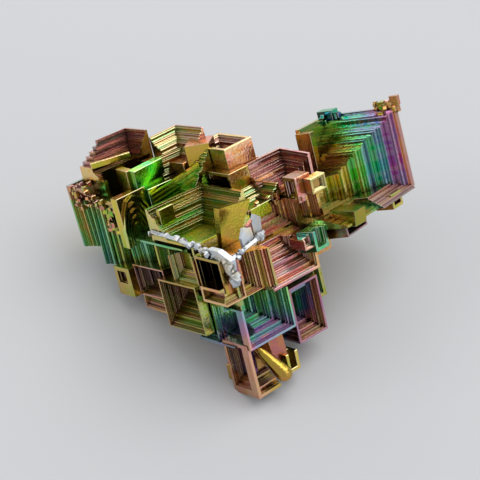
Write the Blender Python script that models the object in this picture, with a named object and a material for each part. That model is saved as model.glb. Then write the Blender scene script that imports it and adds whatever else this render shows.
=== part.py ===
"""Bismuth hopper crystal: a cluster of stepped, hollow cubes grown together as one body.

Every crystal is a box in the shared crystal lattice, hollowed by stepped pits in some of its
faces. Sizes and places are millimetres in lattice axes: b runs right, a runs back, u runs up.
"""

import bmesh
import bpy
import numpy as np
from mathutils import Matrix, Vector

MM = 0.001
NODE = "bismuth_crystal"
FAR = 80.0

# The lattice leans in the world, because the cluster lies on its corners.
AXIS_B = (0.628, -0.636, 0.447)
AXIS_A = (0.744, 0.660, -0.107)
# The end crystal grew turned by about fifteen degrees about the lattice's upright.
END_AXIS_B = (0.792, -0.384, 0.474)
END_AXIS_A = (0.559, 0.768, -0.312)

# No two crystals line up exactly: each drifts by up to this much.
DRIFT_MM = 0.15
DRIFT_DEGREES = 1.1

HUB = (-1.95, -14.85, 25.0)
END_PLACE = (3.9, 22.0, -1.0)

FACES = {"-b": (0, -1), "+b": (0, 1), "-a": (1, -1), "+a": (1, 1), "-u": (2, -1), "+u": (2, 1)}


def pit(face, steps, rim, run, drop):
    """A stepped pit. rim and run hold four sides, in axis order; None leaves that side open."""
    return {"face": face, "steps": steps, "rim": rim, "run": run, "drop": drop}


def crystal(low, high, *pits, turn=(0, 0, 0), notches=()):
    return {"low": low, "high": high, "pits": pits, "turn": turn, "notches": notches}


CLUSTER = {
    # Front wall, from the left end to the middle
    "wall_left": crystal(
        (-46, -6, -0.8), (-37, 5, 14),
        pit("-a", 4, (0.8, 0.8, None, 2.0), (1.3, 0.6, 0, 0.9), 0.9),
        pit("+u", 3, (0.8, 0.8, 0.8, None), (0.9, 0.9, 0.9, 0), 0.9),
    ),
    "wall_second": crystal(
        (-40, -6.3, -4.9), (-30, 5, 10),
        pit("-a", 4, (0.7, 0.8, None, 1.2), (1.2, 0.6, 0, 0.6), 0.9),
    ),
    "wall_third": crystal(
        (-34, -5.6, -6.8), (-27.6, 6, 8),
        pit("-a", 4, (0.7, 0.8, None, 1.2), (1.2, 0.9, 0, 0.6), 0.9),
    ),
    "wall_fourth": crystal(
        (-28.6, -5.0, -8), (-8, 5, 3.8),
        pit("-a", 4, (0.7, 0.8, None, 1.0), (1.4, 1.0, 0, 0.6), 0.9),
    ),
    "round_panel": crystal(
        (-29.6, -6.2, 1.4), (-26.7, 1.6, 12.9),
        pit("+b", 3, (1.1, 0.9, 0.8, 1.9), (0.7, 0.6, 0.8, 1.2), 0.6),
    ),
    # Back row
    "top_left": crystal(
        (-42.8, -3.2, 4), (-33.7, 11, 22),
        pit("+u", 4, (0.7, 1.3, None, 0.7), (0.9, 0.2, 0, 0.9), 1.0),
        pit("+b", 4, (0.9, 0.8, None, 5.2), (0.5, 0.7, 0, 0.3), 1.7),
        notches=(((-FAR, -FAR, 17.7), (FAR, -0.9, FAR)), ((-FAR, -FAR, 19.1), (FAR, 3.0, FAR)),
                 ((-FAR, -FAR, 20.6), (FAR, 7.0, FAR))),
    ),
    "green_wall": crystal((-31.3, -0.2, 4), (-27.6, 8.5, 16.6)),
    "green_wall_back": crystal((-37, 6, 3), (-29, 9.5, 16)),
    "top_middle": crystal(
        (-32.8, 9.8, 6), (-22.9, 17.6, 20.9),
        pit("+u", 5, (0.7, None, None, 0.7), (0.8, 0, 0, 0.8), 0.9),
    ),
    "spark": crystal((-25, 12.5, 8), (-19.5, 18, 18.6), turn=(0, 0, 40)),
    "under_middle": crystal(
        (-28.3, 3, 4), (-18.4, 14.3, 16.6),
        pit("+u", 7, (0.7, None, None, 0.7), (0.8, 0, 0, 0.95), 0.95),
    ),
    "top_right": crystal(
        (-24.5, 14.6, 4), (-13.4, 22.5, 17.6),
        pit("+u", 3, (0.8, 0.8, 0.8, 0.8), (0.8, 0.8, 0.8, 0.8), 0.9),
    ),
    "step_right": crystal(
        (-18.5, 12.6, 0), (-11, 18.2, 13),
        pit("-a", 3, (0.7, 0.7, 0.7, 0.7), (0.7, 0.5, 0.7, 0.7), 1.2),
    ),
    # Centre
    "centre": crystal(
        (-19, -4.5, -3), (-4.5, 11, 11),
        pit("+u", 6, (0.7, None, None, 0.7), (0.9, 0, 0, 0.9), 1.0),
        pit("-a", 3, (0.6, 0.6, None, 6.8), (1.1, 1.1, 0, 0.4), 0.8),
    ),
    "behind_centre": crystal(
        (-11, 11, 0), (-4.4, 20, 9),
        pit("+u", 3, (0.7, None, None, 0.7), (0.9, 0, 0, 0.9), 0.9),
    ),
    "pink_back": crystal(
        (-13, 18, -4), (-3, 29, 12.5),
        pit("+u", 3, (0.7, 0.7, None, 0.7), (0.9, 0.9, 0, 0.9), 0.9),
        pit("+b", 3, (0.7, 0.7, 0.7, 0.7), (0.9, 0.9, 0.9, 0.9), 0.9),
    ),
    "copper_ring": crystal(
        (-2.6, 20, 5), (2, 24.6, 11.6),
        pit("-a", 2, (0.8, 0.8, 0.8, 0.8), (0.8, 0.8, 0.8, 0.8), 1.0),
    ),
    "olive_panel": crystal((0.3, 22, 5.4), (4.4, 26.2, 9.8)),
    "copper_hopper": crystal(
        (-6, 9, -6), (3.2, 24, 6),
        pit("+b", 8, (None, 0.7, 0.7, None), (0, 1.0, 1.0, 0), 0.9),
    ),
    "pink_terraces": crystal(
        (-6, 5, -8), (6, 18, -0.5),
        pit("+b", 5, (None, 0.7, 0.7, None), (0, 0.7, 0.9, 0), 0.9),
    ),
    "pink_block": crystal((2, 14.5, -2.8), (6.6, 17.6, -0.6)),
    "middle_hollow": crystal(
        (-4, -4, -9), (6, 6, 1.5),
        pit("+b", 5, (0.7, 0.7, 0.7, None), (0.5, 0.9, 0.9, 0), 0.9),
        pit("-a", 2, (0.8, 0.8, 2.5, 1.0), (0.6, 0.6, 0.6, 0.6), 0.7),
    ),
    # Lower right
    "lime_frame": crystal(
        (-4, 9, -16), (3, 20.2, -8),
        pit("+b", 3, (0.8, 0.8, 0.8, 0.8), (0.8, 0.8, 0.8, 0.8), 0.9),
    ),
    "teal_hopper": crystal(
        (-3, 8.8, -22), (5, 17, -9.5),
        pit("+b", 4, (0.8, 0.8, 0.8, 0.8), (0.5, 0.8, 0.8, 0.8), 1.0),
        pit("-a", 3, (0.8, 0.8, 0.8, 0.8), (0.7, 0.7, 0.7, 0.7), 0.8),
    ),
    "teal_middle": crystal(
        (-4, -4.6, -17), (6.4, 8, -8),
        pit("+b", 5, (1.1, 0.7, 0.7, 0.7), (0.4, 0.9, 0.8, 0.6), 1.0),
        pit("-a", 2, (0.8, 1.9, 0.8, 0.8), (0.8, 0.4, 0.8, 0.8), 1.0),
    ),
    "green_hollow": crystal(
        (-10, -5.5, -17), (2, 6, -6),
        pit("-a", 4, (0.7, 0.7, 0.7, 0.7), (0.7, 0.7, 0.7, 0.7), 1.0),
    ),
    "tip": crystal(
        (-2.6, -5, -28.2), (5.2, 1.2, -16),
        pit("-a", 3, (0.8, 0.9, 0.9, 0.9), (0.6, 0.8, 0.8, 0.8), 1.0),
        pit("+b", 3, (0.8, None, 0.8, 0.8), (0.7, 0, 0.8, 0.6), 0.9),
    ),
    "tip_left": crystal((-4.6, -4.2, -26.2), (-2, 0, -22.6)),
    "tip_behind": crystal((-2, 1, -23), (4.6, 5, -15)),
    "gold_hook": crystal(
        (2.5, 3.6, -26.5), (6, 6.9, -22.2),
        pit("+b", 1, (0.8, 0.8, 0.8, None), (0, 0, 0, 0), 2.0),
    ),
    # Lower left row
    "gold_box": crystal(
        (-33.2, -7.2, -9.6), (-27.4, 0, -3),
        pit("-a", 2, (0.9, 0.9, 0.9, 0.9), (0.6, 0.6, 0.6, 0.6), 1.2),
    ),
    "dark_dome": crystal(
        (-28, -5.8, -9.5), (-17, 2, -3.6),
        pit("-a", 3, (0.5, 0.5, 0.7, None), (0.7, 0.7, 0.7, 0), 0.8),
    ),
    "striped_base": crystal(
        (-27, -5.5, -13), (-16, 4, -7),
        pit("-a", 3, (0.5, None, None, 0.4), (0.7, 0, 0, 0.8), 0.6),
    ),
    "lower_hollow": crystal(
        (-17.4, -7, -14.6), (-4.6, 5, -3.6),
        pit("-a", 5, (0.8, 0.8, 0.8, 0.8), (0.8, 0.4, 1.0, 0.4), 1.0),
    ),
    "small_striped": crystal(
        (-12.4, -6.4, -4.2), (-4, 0, 2.4),
        pit("-a", 3, (0.6, 0.6, 0.6, 0.6), (0.5, 0.9, 0.6, 0.5), 0.7),
    ),
    "dark_pocket": crystal(
        (-5.5, -6, -7), (1.6, -1, 3.0),
        pit("-a", 3, (0.8, 0.6, 0.8, 0.8), (0.7, 0.7, 0.7, 0.7), 1.2),
    ),
    "little_spiral": crystal(
        (-1.8, -7.2, -5.8), (5.9, -2, -2.4),
        pit("-a", 2, (0.6, 0.6, 0.6, 0.6), (0.6, 0.6, 0.4, 0.4), 0.8),
    ),
    # Body that the hoppers share
    "core_left": crystal((-44, -1.5, -3), (-24, 12, 5)),
    "core_middle": crystal((-30, -1, -6), (-6, 20, 4)),
    "core_low": crystal((-16, 0, -14), (-2, 14, -2)),
    # Back and underside
    "back_foot": crystal(
        (-20, 19, -17), (-10, 30, 2),
        pit("+a", 3, (0.8, 0.8, 0.8, 0.8), (0.9, 0.9, 0.9, 0.9), 0.9),
    ),
    "left_foot": crystal(
        (-42, 0, -8.4), (-32, 10, 0),
        pit("-b", 3, (0.8, 0.8, 0.8, 0.8), (0.9, 0.9, 0.9, 0.9), 0.9),
    ),
    "back_left": crystal(
        (-41, 8, -4), (-29, 19, 13),
        pit("+a", 4, (0.8, 0.8, 0.8, 0.8), (0.9, 0.9, 0.9, 0.9), 0.9),
        pit("-b", 3, (0.8, 0.8, 0.8, 0.8), (0.9, 0.9, 0.9, 0.9), 0.9),
    ),
    "back_middle": crystal(
        (-30, 15, -9), (-16, 25, 12),
        pit("+a", 4, (0.8, 0.8, 0.8, 0.8), (0.9, 0.9, 0.9, 0.9), 0.9),
    ),
    "back_right": crystal(
        (-17.4, 16.3, -10.4), (-4.3, 30.4, 6.6),
        pit("+a", 3, (0.8, 0.8, 0.8, 0.8), (0.9, 0.9, 0.9, 0.9), 0.9),
    ),
}

END = {
    "end_block": crystal(
        (-11.3, -1, -0.2), (7.7, 27.6, 18),
        pit("+u", 9, (1.0, None, None, 1.2), (0.9, 0, 0, 1.7), 1.1),
        pit("+b", 11, (None, 1.2, 0.9, None), (0, 1.7, 0.3, 0), 1.0),
        pit("+a", 4, (3.1, 4.2, 2.1, 4.3), (1.3, 1.6, 1.1, 1.7), 1.05),
        pit("-b", 4, (2.3, 3.3, 2.2, 3.4), (1.1, 1.1, 1.1, 1.1), 0.95),
        notches=(((-FAR, -FAR, 8.13), (-7.53, 15.07, FAR)),),
    ),
    "nub_left": crystal((-11.6, 25.5, 17), (-7.6, 28.2, 19.6)),
    "nub_right": crystal((3, 26.2, 17), (8.6, 27.9, 19.3)),
    "nub_corner": crystal((6.8, 26.5, 18.6), (8.9, 27.6, 20.6)),
    "dark_panel": crystal((2, 1.6, -0.5), (8.1, 6.0, 2.8)),
    "gold_pocket": crystal(
        (3, 17.4, -2.5), (7.5, 21.8, 0.9),
        pit("+b", 1, (0.8, 0.8, 0.8, 0.8), (0, 0, 0, 0), 1.6),
    ),
    "dark_pocket": crystal(
        (0, 1.2, -2.9), (5, 9.6, 0.7),
        pit("+b", 2, (0.8, 0.8, 0.7, 0.7), (0.5, 0.5, 0.3, 0.3), 1.0),
    ),
    "green_hook": crystal(
        (-2.6, -5.4, -3.9), (1.7, -0.6, 0.5),
        pit("+b", 2, (0.8, 0.8, 0.8, None), (0.5, 0.5, 0.4, 0), 1.0),
    ),
}


# Shapes that grew out of line with the lattice, each the hull of its corners (b, a, u).
WEDGE = ((3.2, 9.9), (11.6, 8.7), (1.6, 1.2), (5.2, 0.4))
RIDGE_LOW = ((-25.2, 2.2), (-23.6, 2.0), (-22.9, 7.0), (-21.2, 6.6))
RIDGE_HIGH = ((-22.8, 6.2), (-21.3, 6.0), (-20.3, 13.6), (-18.9, 13.2))
HULLS = {
    "olive_wedge": [(b, a, u) for b in (-5.6, -3.9) for a, u in WEDGE],
    "curved_ridge_low": [(b, a, u) for b, a in RIDGE_LOW for u in (7, 12.4)],
    "curved_ridge_high": [(b, a, u) for b, a in RIDGE_HIGH for u in (7, 14.2)],
    "seam_blob": [(b, a, u) for b in (3.4, 6.9) for a in (-5.5, -3.6) for u in (1.1, 3.9)],
}

# The bare metal seam that drained last: points along it and half its thickness.
SEAM = [
    (-18.7, -4.6, 6.0), (-13.4, -4.7, 5.8), (-8.3, -4.9, 5.6), (-3.4, -4.9, 5.0), (0.6, -4.9, 4.2),
    (4.0, -4.9, 3.4), (6.3, -4.4, 2.2), (6.8, -4.6, 0.2), (6.5, -4.9, -1.9),
]
SEAM_BRANCH = [(6.0, -4.2, 2.8), (5.0, 0.3, 2.6), (3.4, 5.8, 2.4), (1.0, 9.0, 3.0)]
SEAM_HALF = 0.75

# A frozen drop hangs off the tip: start, bulb centre and their radii.
DROP_START = (5.0, -1.4, -19.4)
DROP_BULB = (7.4, 1.2, -24.6)
DROP_RADII = (0.8, 1.25)


def hollow_box(one, fine):
    """The crystal as welded quads: cells of a grid through every step's planes, kept or removed."""
    low = np.array(one["low"], float)
    high = np.array(one["high"], float)
    removed = [(np.array(a, float), np.array(b, float)) for a, b in one["notches"]]
    for each in one["pits"]:
        axis, side = FACES[each["face"]]
        first, second = [i for i in range(3) if i != axis]
        for step in range(each["steps"] * fine):
            cut_low = np.full(3, -FAR)
            cut_high = np.full(3, FAR)
            sides = ((first, 0), (first, 1), (second, 0), (second, 1))
            for place, (across, end) in enumerate(sides):
                if each["rim"][place] is None:
                    continue
                inset = each["rim"][place] + each["run"][place] * step / fine
                if end == 0:
                    cut_low[across] = low[across] + inset
                else:
                    cut_high[across] = high[across] - inset
            depth = each["drop"] * (step + 1) / fine
            if side > 0:
                cut_low[axis] = high[axis] - depth
            else:
                cut_high[axis] = low[axis] + depth
            if (cut_high - cut_low > 0.3).all():
                removed.append((cut_low, cut_high))
    planes = []
    for axis in range(3):
        values = [low[axis], high[axis]]
        for cut in removed:
            values += [cut[0][axis], cut[1][axis]]
        values = np.clip(values, low[axis], high[axis])
        planes.append(np.unique(np.round(values, 4)))
    centres = [(p[1:] + p[:-1]) / 2 for p in planes]
    filled = np.ones([len(c) for c in centres], bool)
    for cut_low, cut_high in removed:
        inside = [(c > cut_low[i]) & (c < cut_high[i]) for i, c in enumerate(centres)]
        filled &= ~(inside[0][:, None, None] & inside[1][None, :, None] & inside[2][None, None, :])
    padded = np.pad(filled, 1)
    quads = []
    for axis in range(3):
        u, v = [(1, 2), (2, 0), (0, 1)][axis]
        change = np.diff(padded.astype(np.int8), axis=axis)
        for cell in np.argwhere(change != 0):
            sign = change[tuple(cell)]
            corner = cell - 1
            corner[axis] = cell[axis]
            ring = []
            for du, dv in ((0, 0), (1, 0), (1, 1), (0, 1)):
                point = corner.copy()
                point[u] += du
                point[v] += dv
                ring.append(tuple(point))
            quads.append(ring if sign < 0 else ring[::-1])
    index = {}
    points = []
    faces = []
    for ring in quads:
        for key in ring:
            if key not in index:
                index[key] = len(points)
                points.append([planes[i][key[i]] for i in range(3)])
        faces.append([index[key] for key in ring])
    return np.array(points), faces


def axes(towards_b, towards_a):
    b = Vector(towards_b).normalized()
    a = Vector(towards_a)
    a = (a - b * a.dot(b)).normalized()
    return Matrix((b, a, b.cross(a))).transposed().to_4x4()


def placed(one, frame, fine, number):
    """World points in millimetres and the faces of one crystal."""
    points, faces = hollow_box(one, fine)
    middle = Vector(points.min(axis=0) + points.max(axis=0)) / 2
    drift = np.sin(number * np.array([1.7, 2.9, 4.3]) + 0.5)
    turn = Matrix.Identity(4)
    for angle, more, axis in zip(one["turn"], drift * DRIFT_DEGREES, "XYZ"):
        turn = Matrix.Rotation(np.radians(angle + more), 4, axis) @ turn
    shift = Vector(np.roll(drift, 1) * DRIFT_MM)
    whole = frame @ Matrix.Translation(middle + shift) @ turn @ Matrix.Translation(-middle)
    return [whole @ Vector(p) for p in points], faces


def seam_hulls(line, half):
    for start, end in zip(line, line[1:]):
        corners = []
        for point in (start, end):
            for i in range(3):
                for side in (-half, half):
                    corner = list(point)
                    corner[i] += side
                    corners.append(tuple(corner))
        yield corners


def drop_hull():
    corners = []
    for centre, radius in zip((DROP_START, DROP_BULB), DROP_RADII):
        for ring in range(-2, 3):
            for spoke in range(8):
                turn = spoke * np.pi / 4
                rise = ring * np.pi / 5
                corners.append((centre[0] + radius * np.cos(rise) * np.cos(turn),
                                centre[1] + radius * np.cos(rise) * np.sin(turn),
                                centre[2] + radius * np.sin(rise)))
    return corners


def all_hulls():
    """Every hull's name and corners in lattice millimetres."""
    yield from HULLS.items()
    for line in (SEAM, SEAM_BRANCH):
        for corners in seam_hulls(line, SEAM_HALF):
            yield "seam", corners
    yield "drop", drop_hull()


def hull_object(name, corners):
    """A convex solid round the corners."""
    cluster = Matrix.Translation(HUB) @ axes(AXIS_B, AXIS_A)
    made = mesh_object(name, [cluster @ Vector(c) for c in corners], [])
    shape = bmesh.new()
    shape.from_mesh(made.data)
    hull = bmesh.ops.convex_hull(shape, input=shape.verts)
    spare = set(hull["geom_interior"] + hull["geom_unused"])
    spare = [v for v in spare if isinstance(v, bmesh.types.BMVert)]
    bmesh.ops.delete(shape, geom=spare, context="VERTS")
    bmesh.ops.recalc_face_normals(shape, faces=shape.faces)
    shape.to_mesh(made.data)
    shape.free()
    made.data.update()
    return made


def all_crystals(fine=1):
    cluster = Matrix.Translation(HUB) @ axes(AXIS_B, AXIS_A)
    end = Matrix.Translation(cluster @ Vector(END_PLACE)) @ axes(END_AXIS_B, END_AXIS_A)
    number = 0
    for frame, group in ((cluster, CLUSTER), (end, END)):
        for name, one in group.items():
            number += 1
            yield name, *placed(one, frame, fine, number)


def mesh_object(name, points, faces):
    mesh = bpy.data.meshes.new(name)
    mesh.from_pydata([p * MM for p in points], [], faces)
    made = bpy.data.objects.new(name, mesh)
    bpy.context.scene.collection.objects.link(made)
    return made


def joined(name, parts):
    """One solid from overlapping solids."""
    group = bpy.data.collections.new("joined")
    for part in parts[1:]:
        bpy.context.scene.collection.objects.unlink(part)
        group.objects.link(part)
    union = parts[0].modifiers.new("union", "BOOLEAN")
    union.operation = "UNION"
    union.operand_type = "COLLECTION"
    union.collection = group
    union.solver = "MANIFOLD"
    whole = baked(name, parts[0])
    for part in parts:
        bpy.data.objects.remove(part)
    bpy.data.collections.remove(group)
    return whole


def keep_outer_shell(mesh):
    """Pits that a neighbour closed over are filled: only the largest connected surface stays."""
    shape = bmesh.new()
    shape.from_mesh(mesh)
    waiting = set(shape.faces)
    shells = []
    while waiting:
        front = [waiting.pop()]
        shell = list(front)
        while front:
            for edge in front.pop().edges:
                if len(edge.link_faces) != 2:
                    continue
                for other in edge.link_faces:
                    if other in waiting:
                        waiting.remove(other)
                        front.append(other)
                        shell.append(other)
        shells.append(shell)
    shells.sort(key=len)
    for shell in shells[:-1]:
        bmesh.ops.delete(shape, geom=shell, context="FACES")
    shape.to_mesh(mesh)
    shape.free()
    mesh.update()


def baked(name, source):
    graph = bpy.context.evaluated_depsgraph_get()
    mesh = bpy.data.meshes.new_from_object(source.evaluated_get(graph))
    made = bpy.data.objects.new(name, mesh)
    bpy.context.scene.collection.objects.link(made)
    return made


def cut_flat(body):
    """Worn contact corners: everything under the floor plane goes."""
    points = [(x * FAR, y * FAR, z) for z in (-FAR, 0) for y in (-1, 1) for x in (-1, 1)]
    faces = [(0, 2, 3, 1), (4, 5, 7, 6), (0, 1, 5, 4), (2, 6, 7, 3), (0, 4, 6, 2), (1, 3, 7, 5)]
    block = mesh_object("under_floor", [Vector(p) for p in points], faces)
    block.hide_render = True
    block.display_type = "WIRE"
    cut = body.modifiers.new("flat", "BOOLEAN")
    cut.operation = "DIFFERENCE"
    cut.object = block
    cut.solver = "MANIFOLD"
    flat = baked(NODE, body)
    bpy.data.objects.remove(body)
    bpy.data.objects.remove(block)
    keep_outer_shell(flat.data)
    return flat


def bismuth():
    material = bpy.data.materials.new("oxidised_bismuth")
    material.use_nodes = True
    shader = material.node_tree.nodes["Principled BSDF"]
    shader.inputs["Base Color"].default_value = (0.42, 0.40, 0.16, 1)
    shader.inputs["Metallic"].default_value = 1.0
    shader.inputs["Roughness"].default_value = 0.3
    return material


def main():
    for item in list(bpy.data.objects):
        bpy.data.objects.remove(item)
    parts = [mesh_object(name, points, faces) for name, points, faces in all_crystals()]
    parts += [hull_object(name, corners) for name, corners in all_hulls()]
    body = joined("grown_together", parts)
    body = cut_flat(body)
    body.name = NODE
    body.data.materials.clear()
    body.data.materials.append(bismuth())


main()
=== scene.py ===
"""Looks of the bismuth hopper crystal: finely terraced crystals in iridescent oxide colours.

Every crystal is a box in the shared lattice, hollowed by finely stepped pits. Sizes and places
are millimetres in lattice axes: b runs right, a runs back, u runs up. film is the thickness of
the oxide that gives the colour: 0 is bare silver, and it passes gold, pink, blue and green.
"""

import math

import bmesh
import bpy
import numpy as np
from mathutils import Matrix, Vector


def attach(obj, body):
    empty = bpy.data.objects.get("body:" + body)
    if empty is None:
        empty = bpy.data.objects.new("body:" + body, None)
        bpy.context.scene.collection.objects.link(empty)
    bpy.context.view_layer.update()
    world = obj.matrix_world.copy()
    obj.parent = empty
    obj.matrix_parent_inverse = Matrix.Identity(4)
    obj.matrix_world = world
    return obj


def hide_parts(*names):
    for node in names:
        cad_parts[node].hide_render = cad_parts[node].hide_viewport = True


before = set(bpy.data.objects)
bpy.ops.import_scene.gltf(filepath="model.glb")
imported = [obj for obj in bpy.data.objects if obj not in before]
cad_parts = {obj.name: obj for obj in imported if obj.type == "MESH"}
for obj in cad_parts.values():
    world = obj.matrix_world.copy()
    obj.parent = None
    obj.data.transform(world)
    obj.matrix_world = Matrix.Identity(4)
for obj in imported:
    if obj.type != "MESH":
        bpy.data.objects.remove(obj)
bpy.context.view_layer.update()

MM = 0.001
NODE = "bismuth_crystal"
# Outside the cluster in every direction.
FAR = 80.0
# Pits reach this far out of their crystal, into the neighbours that they clear.
CUT_MARGIN = 1.0

# The lattice leans in the world, because the cluster lies on its corners.
AXIS_B = (0.628, -0.636, 0.447)
AXIS_A = (0.744, 0.660, -0.107)
# The end crystal grew turned by about fifteen degrees about the lattice's upright.
END_AXIS_B = (0.792, -0.384, 0.474)
END_AXIS_A = (0.559, 0.768, -0.312)

# No two crystals line up exactly: each drifts by up to this much.
DRIFT_MM = 0.15
DRIFT_DEGREES = 1.1

# The lattice's origin in the world, and the end crystal's origin in the lattice.
HUB = (-1.95, -14.85, 25.0)
END_PLACE = (3.9, 22.0, -1.0)

# Each terrace has a narrow shelf below its edge: where it ends, how deep it lies and how
# unevenly terraces follow each other, all in terraces. Edges are bevelled this wide and
# painted pale, partly wear and partly painted highlight.
SHELF_WIDTH = 0.30
SHELF_DEPTH = 0.38
UNEVEN = 0.16
WEAR_AND_HIGHLIGHT_EDGE = 0.09
# Faces narrower than this are partly painted pale as well, and so are the treads of terraces:
# partly wear, partly painted highlight.
THIN_FACE = 0.36
THIN_FACE_WEAR_AND_HIGHLIGHT = 0.6
TREAD_WEAR_AND_HIGHLIGHT = 0.2
# Terraces differ in the thickness of their oxide by this much, and in how bright it is: the
# dullest is darker by this much. How far two terraces lie apart decides how much they differ.
FILM_CHANGE = 0.055
FILM_WAVES = (3.7, 9.1)
DULL_MOST = 0.36
DULL_WAVE = 5.1
# Shapes without terraces have one dull level.
HULL_DULL = 0.35
DROP_DULL = 0.4
# Smaller cuts than this are left out, and sharper edges than this (in radians) are bevelled
# and painted pale, partly wear and partly painted highlight.
LEAST_CUT = 0.3
SHARP = 0.5

# What every face carries for the material.
PAINTS = ("film", "wear_and_highlight", "dullness_and_painted_shade")

DIRECTIONS = {"-b": (0, -1), "+b": (0, 1), "-a": (1, -1), "+a": (1, 1), "-u": (2, -1), "+u": (2, 1)}


def pit(face, steps, rim, run, drop):
    """A stepped pit. rim and run hold four sides, in axis order; None leaves that side open."""
    return {"face": face, "steps": steps, "rim": rim, "run": run, "drop": drop}


def stairs(count, start, level, run, rise):
    """Notches that let a crystal climb towards the back in small steps."""
    return [((-FAR, -FAR, level + rise * i), (FAR, start + run * i, FAR)) for i in range(count)]


def crystal(film, low, high, *pits, turn=(0, 0, 0), notches=(), slope=(0, 0, 0), fade=None,
            clears=(), dullness_and_painted_shade=0):
    """film is the colour at the middle; slope is its change per millimetre along b, a and u.

    fade is (direction, where it starts, change per millimetre). clears names the neighbours
    that this crystal's pits cut into. The last argument is painted shade: how much darker the
    inside of the pits is, or the whole crystal where it has no pits; below zero it is painted
    light.
    """
    return {"film": film, "low": low, "high": high, "pits": pits, "turn": turn,
            "notches": notches, "slope": slope, "fade": fade, "clears": clears, "dullness_and_painted_shade": dullness_and_painted_shade}


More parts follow.
